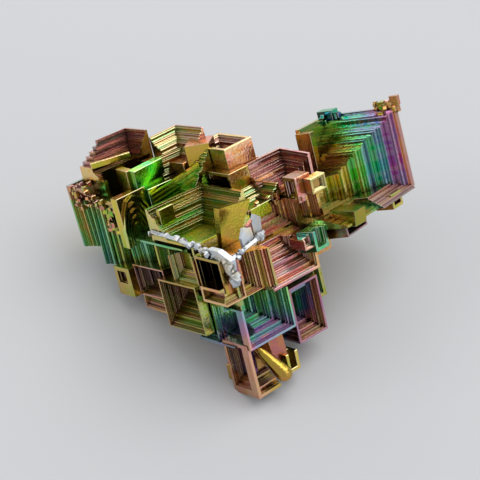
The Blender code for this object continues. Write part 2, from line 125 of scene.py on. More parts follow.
CLUSTER = {
    # Front wall, from the left end to the middle
    "wall_left": crystal(
        0.60, (-46, -6, -0.8), (-38.6, 5, 14),
        pit("-a", 5, (0.7, None, None, 0.9), (1.1, 0, 0, 0.6), 0.42),
        pit("+u", 3, (0.8, 0.8, 0.8, None), (0.9, 0.9, 0.9, 0), 0.9),
        slope=(-0.01, 0, 0.008),
        fade=((0, 0, 1), 8, 0.035),
    ),
    "wall_second": crystal(
        0.55, (-40.6, -4.6, -4.9), (-30, 5, 11.2),
        pit("-a", 8, (0.4, None, None, 0.8), (1.1, 0, 0, 0.6), 0.42),
        slope=(0.006, 0, 0.004),
        fade=((0, 0, 1), 6, 0.03),
    ),
    "wall_third": crystal(
        0.55, (-34, -5.2, -6.8), (-27.2, 6, 6.4),
        pit("-a", 5, (0.6, None, None, 0.7), (1.1, 0, 0, 0.5), 0.5),
        slope=(0, 0, 0.014),
    ),
    "wall_fourth": crystal(
        0.56, (-28.2, -5.0, -8), (-8, 5, 3.8),
        pit("-a", 9, (0.5, None, None, 0.5), (1.3, 0, 0, 0.25), 0.42),
        slope=(0.004, 0, -0.014),
    ),
    "round_panel": crystal(
        0.635, (-28.9, -6.2, 1.4), (-26.7, 1.6, 12.9),
        pit("+b", 1, (2.9, 2.9, 0.6, 7.2), (0, 0, 0, 0), 1.6),
        slope=(0, 0, 0.004),
    ),
    # Back row
    "top_left": crystal(
        0.72, (-42.8, -3.2, 4), (-34.6, 11, 22),
        pit("+u", 8, (0.5, None, None, 0.5), (0.8, 0, 0, 0.62), 0.85),
        pit("+b", 4, (0.9, 0.8, None, 5.2), (0.5, 0.7, 0, 0.3), 1.7),
        notches=stairs(5, -2.2, 17.9, 1.15, 0.75),
        slope=(-0.01, 0, 0.012),
        clears=("wall_left", "wall_second", "green_wall_back", "core_left"),
    ),
    "top_left_rim": crystal(0.61, (-36.25, -3.75, 17.6), (-35.45, 5.25, 18.9), turn=(0, 0, -23)),
    "green_wall": crystal(0.515, (-29.2, -0.3, 4), (-27.1, 7.8, 17.3), turn=(0, 5, 3)),
    "green_wall_side": crystal(0.70, (-33, -0.7, 6), (-28.6, 1.0, 17.0), turn=(0, 0, -6)),
    "green_wall_foot": crystal(0.60, (-28, 1.6, 4), (-25.4, 8.2, 12.4)),
    "green_wall_back": crystal(0.60, (-37, 7, 3), (-29, 9.5, 16)),
    "top_middle": crystal(
        0.70, (-32.8, 9.8, 6), (-22.9, 17.6, 20.9),
        pit("+u", 6, (0.5, None, None, 0.5), (0.8, 0, 0, 0.8), 0.9),
        slope=(0.016, 0, 0),
    ),
    "spark": crystal(0.77, (-25, 12.5, 8), (-19.5, 18, 18.6), turn=(0, 0, 40)),
    "under_middle": crystal(
        0.58, (-28.3, 7.2, 4), (-18.4, 14.6, 17.2),
        pit("+u", 7, (0.7, None, None, 0.5), (0.2, 0, 0, 0.8), 0.95),
    ),
    "top_right": crystal(
        0.765, (-24.5, 14.6, 4), (-13.4, 22.5, 17.6),
        pit("+u", 3, (0.8, 0.8, 0.8, 0.8), (0.8, 0.8, 0.8, 0.8), 0.9),
    ),
    "step_right": crystal(
        0.66, (-18.5, 12.6, 0), (-11, 18.2, 13),
        pit("-a", 3, (0.7, 0.7, 0.7, 0.7), (0.7, 0.5, 0.7, 0.7), 1.2),
    ),
    # Centre
    "centre": crystal(
        0.61, (-19, -4.5, -3), (-4.5, 11, 11),
        pit("+u", 6, (0.7, None, None, 0.7), (0.9, 0, 0, 0.9), 1.0),
        pit("-a", 3, (0.6, 0.6, None, 6.8), (1.1, 1.1, 0, 0.4), 0.8),
        slope=(0, 0, 0.004),
    ),
    "standing_panel": crystal(0.62, (-16.7, -3.6, 3), (-15.7, 0.3, 10.8)),
    "behind_centre": crystal(
        0.62, (-11, 11, 0), (-4.4, 20, 9),
        pit("+u", 3, (0.7, None, None, 0.7), (0.9, 0, 0, 0.9), 0.9),
    ),
    "pink_back": crystal(
        0.83, (-13, 18, -4), (-3, 29, 12.5),
        pit("+u", 4, (0.6, None, None, 0.6), (1.3, 0, 0, 0.8), 1.25),
        pit("+b", 3, (0.7, 0.7, 0.7, 0.7), (0.9, 0.9, 0.9, 0.9), 0.9),
    ),
    "copper_ring": crystal(
        0.79, (-2.6, 20, 5), (1.4, 24.2, 10.6),
        pit("-a", 2, (0.8, 0.8, 0.8, 0.8), (0.6, 0.6, 0.6, 0.6), 1.4),
    ),
    "olive_panel": crystal(
        0.66, (1.2, 22, 6.2), (3.6, 26.2, 9.6),
        pit("+b", 2, (0.4, 0.4, 0.4, 0.4), (0.4, 0.4, 0.3, 0.3), 0.4),
    ),
    "copper_hopper": crystal(
        0.76, (-6, 9, -6), (3.2, 24, 6),
        pit("+b", 11, (None, 0.7, 0.7, None), (0, 0.72, 1.0, 0), 0.78),
        clears=("pink_back", "back_right"),
    ),
    "pink_terraces": crystal(
        0.84, (-6, 5, -8), (6, 18, -0.5),
        pit("+b", 6, (None, 0.7, 0.6, None), (0, 0.5, 1.05, 0), 1.15),
        slope=(0, 0, -0.006),
        fade=((0, 1, 0), 15, -0.05),
    ),
    "pink_block": crystal(
        0.82, (2, 14.5, -2.8), (6.6, 17.6, -0.6),
        pit("+b", 2, (0.4, 0.4, 0.4, None), (0.4, 0.4, 0.4, 0), 0.7),
    ),
    "middle_hollow": crystal(
        0.71, (-4, -4, -9), (6, 6, 1.5),
        pit("+b", 7, (0.5, 0.5, 0.5, None), (0.2, 0.95, 0.75, 0), 0.9),
        slope=(0, 0.006, 0.008),
    ),
    # Lower right
    "lime_frame": crystal(
        0.585, (-4, 9, -16), (3, 20.2, -8),
        pit("+b", 3, (0.8, 0.8, 0.8, 0.8), (0.8, 0.8, 0.8, 0.8), 0.9),
    ),
    "teal_hopper": crystal(
        0.16, (-3, 8.8, -22), (5, 17, -9.5),
        pit("+b", 6, (0.45, 0.45, 0.45, 0.45), (0.6, 0.7, 0.8, 0.7), 1.05),
        pit("-a", 3, (0.5, 0.5, 0.5, 0.5), (0.7, 0.7, 0.7, 0.7), 0.8),
        fade=((-1, 0, 0.3), -8.3, 0.09),
        clears=("lime_frame", "teal_middle"),
        # Painted shade darkens the insides of its pits.
        dullness_and_painted_shade=0.2,
    ),
    "teal_middle": crystal(
        0.42, (-4, -4.6, -17), (6.4, 8, -8),
        pit("+b", 7, (0.5, 0.4, 0.5, None), (0.2, 0.9, 0.7, 0), 1.05),
        pit("-a", 4, (0.5, 1.9, 0.5, 0.5), (0.5, 0.15, 0.5, 0.5), 1.1),
        slope=(-0.004, 0, 0.026),
        fade=((0.5, -1, 0), 5.5, -0.09),
        clears=("green_hollow", "core_low", "middle_hollow"),
    ),
    "green_hollow": crystal(
        0.44, (-10, -5.5, -17), (2, 6, -6),
        pit("-a", 4, (0.7, 0.7, 0.7, 0.7), (0.7, 0.7, 0.7, 0.7), 1.0),
        slope=(0, 0, 0.014),
    ),
    "tip": crystal(
        0.755, (-2.6, -5, -28.2), (5.2, 1.2, -16),
        pit("-a", 4, (0.7, 2.0, 1.6, 0.8), (0.2, 0.4, 0.75, 0.2), 1.0),
        pit("+b", 4, (0.7, None, 0.7, 1.4), (0.3, 0, 0.9, 0.3), 0.9),
        slope=(0, -0.012, 0.004),
        clears=("green_hollow", "teal_middle"),
    ),
    "tip_slot": crystal(0.26, (-1.7, -2.2, -25.4), (1.9, -0.9, -17)),
    "tip_left": crystal(0.74, (-4.6, -4.2, -26.2), (-2, 0, -22.6)),
    "tip_behind": crystal(0.78, (-2, 1, -23), (4.6, 5, -17.4)),
    "gold_hook": crystal(
        0.67, (2.5, 3.6, -26.5), (6, 6.9, -22.2),
        pit("+b", 1, (0.8, 0.8, 0.8, None), (0, 0, 0, 0), 2.0),
    ),
    # Lower left row
    "gold_box": crystal(
        0.80, (-33.2, -7.2, -9.6), (-27.4, 0, -3),
        pit("-a", 2, (1.0, 1.5, 2.9, 0.9), (0.3, 0.2, 0.3, 0.2), 1.6),
        slope=(0, 0.04, 0),
        clears=("wall_second", "wall_third", "core_left", "core_middle"),
    ),
    "gold_box_window": crystal(0.22, (-32.4, -4.4, -8.8), (-28.6, -3.6, -3.6)),
    "dark_dome": crystal(
        0.79, (-28, -5.8, -9.5), (-17, 2, -2.2),
        pit("-a", 7, (0.4, 0.3, 0.5, 0.3), (0.6, 0.5, 0.35, 0.3), 0.7),
        clears=("wall_third", "wall_fourth", "core_middle", "striped_base"),
        # Painted shade darkens the insides of its pits.
        dullness_and_painted_shade=0.5,
    ),
    "striped_base": crystal(
        0.68, (-27, -5.5, -13), (-16, 4, -7),
        pit("-a", 5, (0.4, None, 0.5, None), (0.3, 0, 0.95, 0), 0.5),
        slope=(0, 0, -0.02),
    ),
    "lower_hollow": crystal(
        0.635, (-17.4, -7, -14.6), (-4.6, 5, -3.6),
        pit("-a", 8, (0.4, 0.4, 0.3, 0.4), (0.18, 0.10, 0.85, 0.12), 0.85),
        slope=(-0.006, 0, 0.006),
        fade=((-0.6, 1, 0), 3.6, 0.045),
        clears=("wall_fourth", "core_low", "core_middle", "green_hollow", "striped_base"),
        # Painted shade darkens the insides of its pits.
        dullness_and_painted_shade=0.25,
    ),
    "small_striped": crystal(
        0.70, (-12.4, -6.4, -4.2), (-4, 0, 2.4),
        pit("-a", 4, (0.4, 0.4, 0.4, None), (0.3, 0.9, 0.8, 0), 0.6),
        slope=(0, 0.03, 0),
        clears=("wall_fourth", "core_middle"),
    ),
    "dark_pocket": crystal(
        0.80, (-3.4, -6, -6), (5.0, -1.6, 3.4),
        pit("-a", 2, (0.45, 0.5, 0.5, 0.6), (0.3, 0.3, 0.3, 0.3), 2.0),
        slope=(0, 0.06, 0),
        clears=("middle_hollow", "core_middle", "centre", "copper_hopper", "pink_terraces"),
        # Painted shade darkens the insides of its pits.
        dullness_and_painted_shade=0.7,
    ),
    "little_spiral": crystal(
        0.70, (-1.8, -7.2, -5.8), (5.9, -2, -2.4),
        pit("-a", 2, (0.6, 0.6, 0.6, 0.6), (0.6, 0.6, 0.4, 0.4), 0.8),
        pit("+b", 4, (None, 0.3, 0.35, None), (0, 0.3, 0.6, 0), 0.35),
    ),
    # Body that the hoppers share
    "core_left": crystal(0.6, (-44, -1.5, -3), (-24, 12, 5)),
    "core_middle": crystal(0.58, (-30, -1, -6), (-6, 20, 4)),
    "core_low": crystal(0.6, (-16, 0, -14), (-2, 14, -2)),
    # Back and underside
    "back_foot": crystal(
        0.62, (-20, 19, -17), (-10, 30, 2),
        pit("+a", 3, (0.8, 0.8, 0.8, 0.8), (0.9, 0.9, 0.9, 0.9), 0.9),
        slope=(0, 0, 0.012),
    ),
    "left_foot": crystal(
        0.7, (-42, 0, -8.4), (-32, 10, 0),
        pit("-b", 3, (0.8, 0.8, 0.8, 0.8), (0.9, 0.9, 0.9, 0.9), 0.9),
    ),
    "back_left": crystal(
        0.62, (-41, 8, -4), (-29, 19, 13),
        pit("+a", 4, (0.8, 0.8, 0.8, 0.8), (0.9, 0.9, 0.9, 0.9), 0.9),
        pit("-b", 3, (0.8, 0.8, 0.8, 0.8), (0.9, 0.9, 0.9, 0.9), 0.9),
        slope=(0.01, 0, 0),
    ),
    "back_middle": crystal(
        0.7, (-30, 15, -9), (-16, 25, 12),
        pit("+a", 4, (0.8, 0.8, 0.8, 0.8), (0.9, 0.9, 0.9, 0.9), 0.9),
        slope=(0, 0, 0.01),
    ),
    "back_right": crystal(
        0.78, (-17.4, 16.3, -10.4), (-4.3, 30.4, 6.6),
        pit("+a", 3, (0.8, 0.8, 0.8, 0.8), (0.9, 0.9, 0.9, 0.9), 0.9),
    ),
}

# The large crystal at the right end and what grew on it, in its own turned lattice
END = {
    "end_block": crystal(
        0.65, (-11.3, -1, -0.2), (7.7, 27.6, 18),
        pit("+u", 9, (1.0, None, None, 1.0), (0.3, 0, 0, 1.7), 1.1),
        pit("+b", 11, (None, 1.2, 0.5, None), (0, 1.7, 0.25, 0), 1.0),
        pit("+a", 4, (3.1, 4.2, 2.1, 4.3), (1.3, 1.6, 1.1, 1.7), 1.05),
        pit("-b", 2, (2.3, 3.3, 2.2, 3.4), (1.1, 1.1, 1.1, 1.1), 0.3),
        notches=(((-FAR, -FAR, 8.13), (-7.53, 15.07, FAR)),),
        fade=((0.8, 1.0, 0), 13, -0.022),
        # Painted light brightens the insides of its pits.
        dullness_and_painted_shade=-0.5,
    ),
    "end_lip": crystal(
        0.84, (1.5, 12, -0.4), (8.3, 26.6, 2.4),
        pit("+b", 6, (None, None, 0.35, None), (0, 0, 0.38, 0), 0.55),
        slope=(-0.02, -0.02, -0.08),
    ),
    "end_panel": crystal(0.66, (-11.1, 14.4, 7.6), (-7.2, 16.2, 17.4)),
    "nub_left": crystal(0.42, (-11.6, 25.5, 17), (-7.6, 28.2, 19.6)),
    "nub_right": crystal(0.76, (3.4, 26.4, 17), (8.4, 27.8, 18.9)),
    "nub_corner": crystal(0.74, (6.8, 26.5, 18.4), (8.9, 27.6, 20.6)),
    # Painted shade darkens this whole panel.
    "dark_panel": crystal(0.66, (2, 1.6, -0.5), (8.1, 6.0, 2.8), turn=(0, 8, 0), dullness_and_painted_shade=0.45),
    "gold_pocket": crystal(
        0.7, (3, 17.4, -2.5), (7.5, 21.8, 0.9),
        pit("+b", 1, (0.8, 0.8, 0.8, 0.8), (0, 0, 0, 0), 1.6),
    ),
    "dark_pocket": crystal(
        0.86, (0, 1.2, -2.9), (5, 9.6, 0.7),
        pit("+b", 3, (0.5, 0.5, 0.4, 0.4), (0.5, 0.5, 0.3, 0.3), 1.2),
        # Painted shade darkens the insides of its pits.
        dullness_and_painted_shade=0.7,
    ),
    "green_hook": crystal(
        0.5, (-2.6, -5.4, -3.9), (1.7, -0.6, 0.5),
        pit("+b", 2, (0.8, 0.8, 0.8, None), (0.5, 0.5, 0.4, 0), 1.0),
    ),
}

# Shapes that grew out of line with the lattice, each the hull of its corners (b, a, u).
WEDGE = ((3.2, 9.9), (11.6, 8.7), (1.6, 1.2), (5.2, 0.4))
BLOB = (
    (1.0, -5.3, 5.3), (2.5, -5.3, 3.4), (4.6, -5.5, 5.4),
    (6.9, -4.6, 3.2), (6.6, -4.9, -0.6), (5.2, -5.2, 0.8),
)
FRONT_PLATE = ((5.1, 0.6, 2.9), (4.6, 0.9, 5.4), (3.7, 2.6, 6.9), (3.5, 4.6, 6.3), (4.3, 4.3, 3.6))
BACK_PLATE = ((3.8, 4.9, 4.0), (3.3, 5.2, 6.9), (2.1, 7.2, 7.9), (1.7, 8.9, 6.6), (2.9, 7.6, 4.4))
PINK_PLATE = ((4.0, 3.3, 5.3), (3.5, 3.9, 6.8), (2.9, 5.8, 7.3), (3.2, 5.9, 5.6))
HULLS = {
    "olive_wedge": (0.66, [(b, a, u) for b in (-5.6, -3.9) for a, u in WEDGE]),
    "seam_blob": (0.0, [(b, a + more, u) for b, a, u in BLOB for more in (0, 1.3)]),
    "front_plate": (0.0, [(b - less, a, u) for b, a, u in FRONT_PLATE for less in (0, 0.8)]),
    "back_plate": (0.0, [(b - less, a, u) for b, a, u in BACK_PLATE for less in (0, 0.8)]),
    "pink_plate": (0.80, [(b - less, a, u) for b, a, u in PINK_PLATE for less in (0, 0.8)]),
}

# The curved ridge behind the centre: its crest, how far down it goes and the lower layers that
# lie against it.
RIDGE = [
    (-25.2, 1.8, 11.2), (-24.4, 4.4, 11.9), (-23.3, 7.2, 12.7), (-21.8, 9.8, 13.8),
    (-20.0, 12.2, 15.0),
]
RIDGE_FOOT = 5.0
RIDGE_LAYERS = 8
RIDGE_LAYER_STEP = (0.40, -0.03, -0.8)
# Half a slice's thickness, how it leans, and how far it reaches past its ends.
RIDGE_HALF = 0.5
RIDGE_LEAN = 0.3
RIDGE_SPREAD = 0.2
RIDGE_FILM = 0.585
RIDGE_FILM_CHANGE = 0.03

# Nested arches on the round panel: their plane (b), centre (a, u), smallest size and step.
ARCH_PLANE = -26.7
ARCH_CENTRE = (-2.3, 3.4)
ARCH_SIZE = (1.2, 2.8)
ARCH_STEP = (0.68, 1.55)
ARCHES = 5
ARCH_FILM = 0.62
# The arches are partly painted pale: wear and painted highlight.
ARCH_WEAR_AND_HIGHLIGHT = 0.5
# Each arch is made of this many straight pieces. It starts at the first of these angles and
# turns through the second. Arches stand out by the first of these heights, and each wider one
# by the second more. They are sunk into the panel, and half their thickness is given too.
ARCH_PIECES = 8
ARCH_ANGLES = (-10, 200)
ARCH_RISE = (0.25, 0.12)
ARCH_SUNK = 0.5
ARCH_HALF = 0.16

# The bare metal seam that drained last: points along it and half its thickness.
SEAM = [
    (-18.7, -4.6, 6.0), (-13.4, -4.7, 5.8), (-8.3, -4.9, 5.6), (-3.4, -4.9, 5.0), (0.6, -4.9, 4.2),
    (4.0, -4.9, 3.4), (6.3, -4.4, 2.2), (6.8, -4.6, 0.2), (6.5, -4.9, -1.9),
]
SEAM_BRANCH = [(6.0, -4.2, 3.0), (5.4, 0.3, 3.4), (4.8, 4.2, 3.8), (3.4, 7.5, 4.0)]
SEAM_HALF = 0.5
# Uneven grains lie on it, two thirds of them on the main line. They stray this far, measure
# between the first two of these sizes, and grow by up to the third towards the line's end.
SEAM_LUMPS = 60
SEAM_STRAY = 0.45
SEAM_LUMP_SIZES = (0.8, 1.4, 1.1)
LUMP_CORNERS = 14

# A frozen drop hangs off the tip: start, bulb centre and their radii.
DROP_START = (3.4, -1.6, -17.6)
DROP_BULB = (7.4, 1.2, -24.6)
DROP_RADII = (0.7, 1.75)
DROP_FILM = 0.71

# Crumbled metal: its lattice, where it lies (low and high corner), how many grains, their size
# and film.
CRUMBLE = (
    ("cluster", (-45.4, -6.2, 9.0), (-37.0, -4.0, 14.4), 50, (0.4, 1.5), 0.77),
    ("cluster", (-37.5, -6.0, 4.6), (-29.0, -4.2, 11.8), 50, (0.4, 1.4), 0.70),
    ("end", (2.5, 26.0, 16.8), (8.2, 27.6, 19.4), 34, (0.5, 1.6), 0.75),
    ("end", (-11, 24.5, 17.0), (-6, 27.8, 19.0), 12, (0.5, 1.6), 0.45),
    ("cluster", (-7, 10, 5.0), (2, 23, 7.0), 36, (0.4, 1.3), 0.72),
)
# A grain's film strays between these limits, and a grain turns by up to this many degrees.
GRAIN_FILM = (-0.1, 0.08)
GRAIN_TURN = 14

# The oxide's colours from bare metal to the thickest film.
OXIDE = (
    (0.00, (0.64, 0.68, 0.72)),
    (0.06, (0.86, 0.70, 0.42)),
    (0.12, (0.92, 0.52, 0.20)),
    (0.18, (0.88, 0.32, 0.26)),
    (0.23, (0.76, 0.20, 0.46)),
    (0.29, (0.44, 0.20, 0.60)),
    (0.35, (0.14, 0.30, 0.60)),
    (0.42, (0.07, 0.58, 0.54)),
    (0.48, (0.06, 0.74, 0.32)),
    (0.54, (0.18, 0.72, 0.08)),
    (0.60, (0.50, 0.64, 0.05)),
    (0.67, (0.84, 0.62, 0.08)),
    (0.74, (0.92, 0.44, 0.14)),
    (0.81, (0.92, 0.32, 0.25)),
    (0.88, (0.66, 0.25, 0.34)),
    (0.94, (0.34, 0.28, 0.26)),
    (1.00, (0.10, 0.50, 0.34)),
)

# Where the film's thickness wanders: noise scale and how much it adds.
WIDE_NOISE = (230.0, 0.22)
FINE_NOISE = (2100.0, 0.08)
# Worn metal is mixed with this pale gold by up to this share; the pale is partly wear and
# partly painted highlight.
PALE_WEAR_AND_HIGHLIGHT = (0.98, 0.86, 0.68, 1)
PALE_WEAR_AND_HIGHLIGHT_SHARE = 0.48
# Light lost in grooves and in deep hollows: reach in metres, share lost and share kept.
GROOVE = (0.0004, 0.78, 0.22)
HOLLOW = (0.007, 0.70, 0.30)
# Roughness: how much the fine noise adds, the least, and what bare metal adds.
ROUGH = (0.22, 0.06, 0.35)
BARE_FILM = 0.03
BUMP_STRENGTH = 0.22
BUMP_METRES = 0.0002

FLOOR_COLOUR = (0.54, 0.54, 0.55, 1)
FLOOR_ROUGH = 0.6
FLOOR_HALF = 3.0
SKY_COLOUR = (0.80, 0.82, 0.85, 1)
SKY_STRENGTH = 0.70
# Soft discs of light: place, what they point at, diameter and power.
LIGHTS = {
    "overhead": ((0.46, 0.20, 0.95), (0.05, 0, 0), 1.10, 7.2),
    "left": ((-0.60, -0.10, 0.30), (0, 0, 0.01), 0.40, 1.2),
    "right": ((0.70, -0.20, 0.28), (0, 0, 0.02), 0.50, 0.5),
    "back": ((-0.10, 0.75, 0.20), (0, 0, 0.02), 0.45, 1.0),
}

# The camera looks down at 45 degrees, its view a little right of and above the hub.
CAMERA_TILT = math.radians(45)
CAMERA_AWAY_MM = 300.0
CAMERA_OFFSET_MM = (2.04, 4.48)
CAMERA_LENS = 110.55


def unevenly(step, number):
    """Where terrace number step starts, counted in terraces of the usual width.

    number tells crystals and sides apart, so that no two are uneven in the same way.
    """
    wobble = math.sin(step * 2.39 + number * 1.7) + 0.6 * math.sin(step * 5.3 + number)
    return step + UNEVEN * wobble * (step > 0)


def pit_cuts(one, number):
    """The blocks that a crystal's pits take away, two for every terrace."""
    low = np.array(one["low"], float)
    high = np.array(one["high"], float)
    cuts = []
    for each in one["pits"]:
        axis, side = DIRECTIONS[each["face"]]
        first, second = [i for i in range(3) if i != axis]
        sides = ((first, 0), (first, 1), (second, 0), (second, 1))
        for half in range(each["steps"] * 2):
            step = half // 2
            on_shelf = half % 2 == 0
            cut_low = low - CUT_MARGIN
            cut_high = high + CUT_MARGIN
            for place, (across, end) in enumerate(sides):
                if each["rim"][place] is None:
                    continue
                inset = unevenly(step, number + place) + (0 if on_shelf else SHELF_WIDTH)
                inset = each["rim"][place] + each["run"][place] * inset
                if end == 0:
                    cut_low[across] = low[across] + inset
                else:
                    cut_high[across] = high[across] - inset
            depth = unevenly(step, number + 9) + (SHELF_DEPTH if on_shelf else 0)
            if not on_shelf:
                depth = unevenly(step + 1, number + 9)
            depth *= each["drop"]
            if side > 0:
                cut_low[axis] = high[axis] - depth
            else:
                cut_high[axis] = low[axis] + depth
            if (cut_high - cut_low > LEAST_CUT).all():
                cuts.append((cut_low, cut_high))
    return cuts


def hollow_box(one, removed):
    """The crystal as welded quads: cells of a grid through every step's planes, kept or removed."""
    low = np.array(one["low"], float)
    high = np.array(one["high"], float)
    removed = removed + [(np.array(a, float), np.array(b, float)) for a, b in one["notches"]]
    planes = []
    for axis in range(3):
        values = [low[axis], high[axis]]
        for cut in removed:
            values += [cut[0][axis], cut[1][axis]]
        values = np.clip(values, low[axis], high[axis])
        planes.append(np.unique(np.round(values, 4)))
    centres = [(p[1:] + p[:-1]) / 2 for p in planes]
    filled = np.ones([len(c) for c in centres], bool)
    for cut_low, cut_high in removed:
        inside = [(c > cut_low[i]) & (c < cut_high[i]) for i, c in enumerate(centres)]
        filled &= ~(inside[0][:, None, None] & inside[1][None, :, None] & inside[2][None, None, :])
    padded = np.pad(filled, 1)
    quads = []
    for axis in range(3):
        u, v = [(1, 2), (2, 0), (0, 1)][axis]
        change = np.diff(padded.astype(np.int8), axis=axis)
        for cell in np.argwhere(change != 0):
            sign = change[tuple(cell)]
            corner = cell - 1
            corner[axis] = cell[axis]
            ring = []
            for du, dv in ((0, 0), (1, 0), (1, 1), (0, 1)):
                point = corner.copy()
                point[u] += du
                point[v] += dv
                ring.append(tuple(point))
            quads.append(ring if sign < 0 else ring[::-1])
    index = {}
    points = []
    faces = []
    for ring in quads:
        for key in ring:
            if key not in index:
                index[key] = len(points)
                points.append([planes[i][key[i]] for i in range(3)])
        faces.append([index[key] for key in ring])
    return points, faces


def axes(towards_b, towards_a):
    """A lattice's rotation, from two of its directions in the world."""
    b = Vector(towards_b).normalized()
    a = Vector(towards_a)
    a = (a - b * a.dot(b)).normalized()
    return Matrix((b, a, b.cross(a))).transposed().to_4x4()


def placing(one, frame_matrix, number):
    """The matrix from lattice millimetres to world metres for one crystal."""
    middle = (Vector(one["low"]) + Vector(one["high"])) / 2
    drift = np.sin(number * np.array([1.7, 2.9, 4.3]) + 0.5)
    turn = Matrix.Identity(4)
    for angle, more, axis in zip(one["turn"], drift * DRIFT_DEGREES, "XYZ"):
        turn = Matrix.Rotation(np.radians(angle + more), 4, axis) @ turn
    shift = Vector(np.roll(drift, 1) * DRIFT_MM)
    whole = frame_matrix @ Matrix.Translation(middle + shift) @ turn @ Matrix.Translation(-middle)
    return Matrix.Scale(MM, 4) @ whole


def painted_shape():
    """An empty shape whose faces can carry film, wear and painted highlight, and dullness and
    painted shade.
    """
    shape = bmesh.new()
    for name in PAINTS:
        shape.faces.layers.float.new(name)
    return shape


def paint(shape, one, number):
    """Every face gets its oxide's thickness, its wear and painted highlight, its dullness and
    painted shade.
    """
    film, wear_and_highlight, dullness_and_painted_shade = [shape.faces.layers.float[each] for each in PAINTS]
    middle = (Vector(one["low"]) + Vector(one["high"])) / 2
    slope = Vector(one["slope"])
    treads_face = [Vector([side * (i == axis) for i in range(3)])
                   for axis, side in (DIRECTIONS[each["face"]] for each in one["pits"])]
    for face in shape.faces:
        centre = face.calc_center_median()
        plane = centre.dot(face.normal)
        each = math.sin(plane * FILM_WAVES[0] + number) + 0.6 * math.sin(plane * FILM_WAVES[1])
        face[film] = one["film"] + slope.dot(centre - middle) + FILM_CHANGE * each
        if one["fade"]:
            direction, start, rate = one["fade"]
            face[film] += rate * max(0, Vector(direction).dot(centre) - start)
        face[dullness_and_painted_shade] = DULL_MOST / 2 * (1 + math.sin(plane * DULL_WAVE + number * 2.3))
        # Painted shade is added inside the pits, and over the whole of a crystal without pits;
        # below zero it is painted light.
        inside = [min(c - a, b - c) for c, a, b in zip(centre, one["low"], one["high"])]
        if min(inside) > 0.1 or not one["pits"]:
            face[dullness_and_painted_shade] += one["dullness_and_painted_shade"]
        # Narrow faces and the treads of terraces are partly painted pale: wear and painted
        # highlight.
        width = 2 * face.calc_area() / face.calc_perimeter()
        if width < THIN_FACE:
            face[wear_and_highlight] = THIN_FACE_WEAR_AND_HIGHLIGHT
        elif any(face.normal.dot(way) > 0.9 for way in treads_face):
            face[wear_and_highlight] = TREAD_WEAR_AND_HIGHLIGHT


def finished(name, shape, matrix):
    """The shape as an object in its place in the world."""
    shape.transform(matrix)
    mesh = bpy.data.meshes.new(name)
    shape.to_mesh(mesh)
    shape.free()
    return linked(name, mesh)


def crystal_object(name, one, frame_matrix, number, cuts):
    """One crystal with bevelled edges painted pale: partly wear, partly painted highlight."""
    points, faces = hollow_box(one, cuts)
    shape = painted_shape()
    made = [shape.verts.new(p) for p in points]
    for ring in faces:
        shape.faces.new([made[i] for i in ring])
    bmesh.ops.dissolve_limit(shape, angle_limit=0.01, verts=shape.verts, edges=shape.edges)
    paint(shape, one, number)
    sharp = [e for e in shape.edges if e.calc_face_angle(0) > SHARP]
    edges = bmesh.ops.bevel(shape, geom=sharp, offset=WEAR_AND_HIGHLIGHT_EDGE, offset_type="OFFSET", segments=1,
                            affect="EDGES", clamp_overlap=True)
    # The bevels are painted pale: partly wear, partly painted highlight.
    wear_and_highlight = shape.faces.layers.float["wear_and_highlight"]
    for face in edges["faces"]:
        face[wear_and_highlight] = 1.0
    return finished(name, shape, placing(one, frame_matrix, number))


def hull_object(name, film_value, corners, bare=0.0, dull=0.0):
    """A convex solid round the corners."""
    shape = painted_shape()
    for corner in corners:
        shape.verts.new(corner)
    hull = bmesh.ops.convex_hull(shape, input=shape.verts)
    spare = set(hull["geom_interior"] + hull["geom_unused"])
    spare = [v for v in spare if isinstance(v, bmesh.types.BMVert)]
    bmesh.ops.delete(shape, geom=spare, context="VERTS")
    bmesh.ops.recalc_face_normals(shape, faces=shape.faces)
    film, wear_and_highlight, dullness_and_painted_shade = [shape.faces.layers.float[each] for each in PAINTS]
    for face in shape.faces:
        face[film] = film_value
        face[wear_and_highlight] = bare
        face[dullness_and_painted_shade] = dull
    cluster = Matrix.Scale(MM, 4) @ Matrix.Translation(HUB) @ axes(AXIS_B, AXIS_A)
    return finished(name, shape, cluster)


def linked(name, mesh):
    made = bpy.data.objects.new(name, mesh)
    bpy.context.scene.collection.objects.link(made)
    return made


def seam_hulls(line, half):
    """Straight pieces of the seam, from point to point."""
    for start, end in zip(line, line[1:]):
        corners = []
        for point in (start, end):
            for i in range(3):
                for side in (-half, half):
                    corner = list(point)
                    corner[i] += side
                    corners.append(tuple(corner))
        yield corners


def ridge_hulls():
    """Upright slices of the curved ridge, layer by layer."""
    for layer in range(RIDGE_LAYERS):
        crest = np.array(RIDGE) + layer * np.array(RIDGE_LAYER_STEP)
        for start, end in zip(crest, crest[1:]):
            corners = []
            for b, a, top in (start, end):
                for side in (-RIDGE_HALF, RIDGE_HALF):
                    for more in (-RIDGE_SPREAD, RIDGE_SPREAD):
                        for height in (top, RIDGE_FOOT):
                            corners.append((b + side, a - side * RIDGE_LEAN + more, height))
            yield corners


def arch_hulls():
    """Raised arches, each a chain of short straight pieces."""
    for number in range(ARCHES):
        wide, tall = np.array(ARCH_SIZE) + number * np.array(ARCH_STEP)
        points = []
        for i in range(ARCH_PIECES + 1):
            turn = math.radians(ARCH_ANGLES[0] + ARCH_ANGLES[1] * i / ARCH_PIECES)
            points.append((ARCH_CENTRE[0] + wide * math.cos(turn),
                           ARCH_CENTRE[1] + tall * math.sin(turn)))
        rise = ARCH_RISE[0] + ARCH_RISE[1] * number
        for start, end in zip(points, points[1:]):
            corners = []
            for a, u in (start, end):
                for plane in (ARCH_PLANE - ARCH_SUNK, ARCH_PLANE + rise):
                    for back in (-ARCH_HALF, ARCH_HALF):
                        for up in (-ARCH_HALF, ARCH_HALF):
                            corners.append((plane, a + back, u + up))
            yield corners


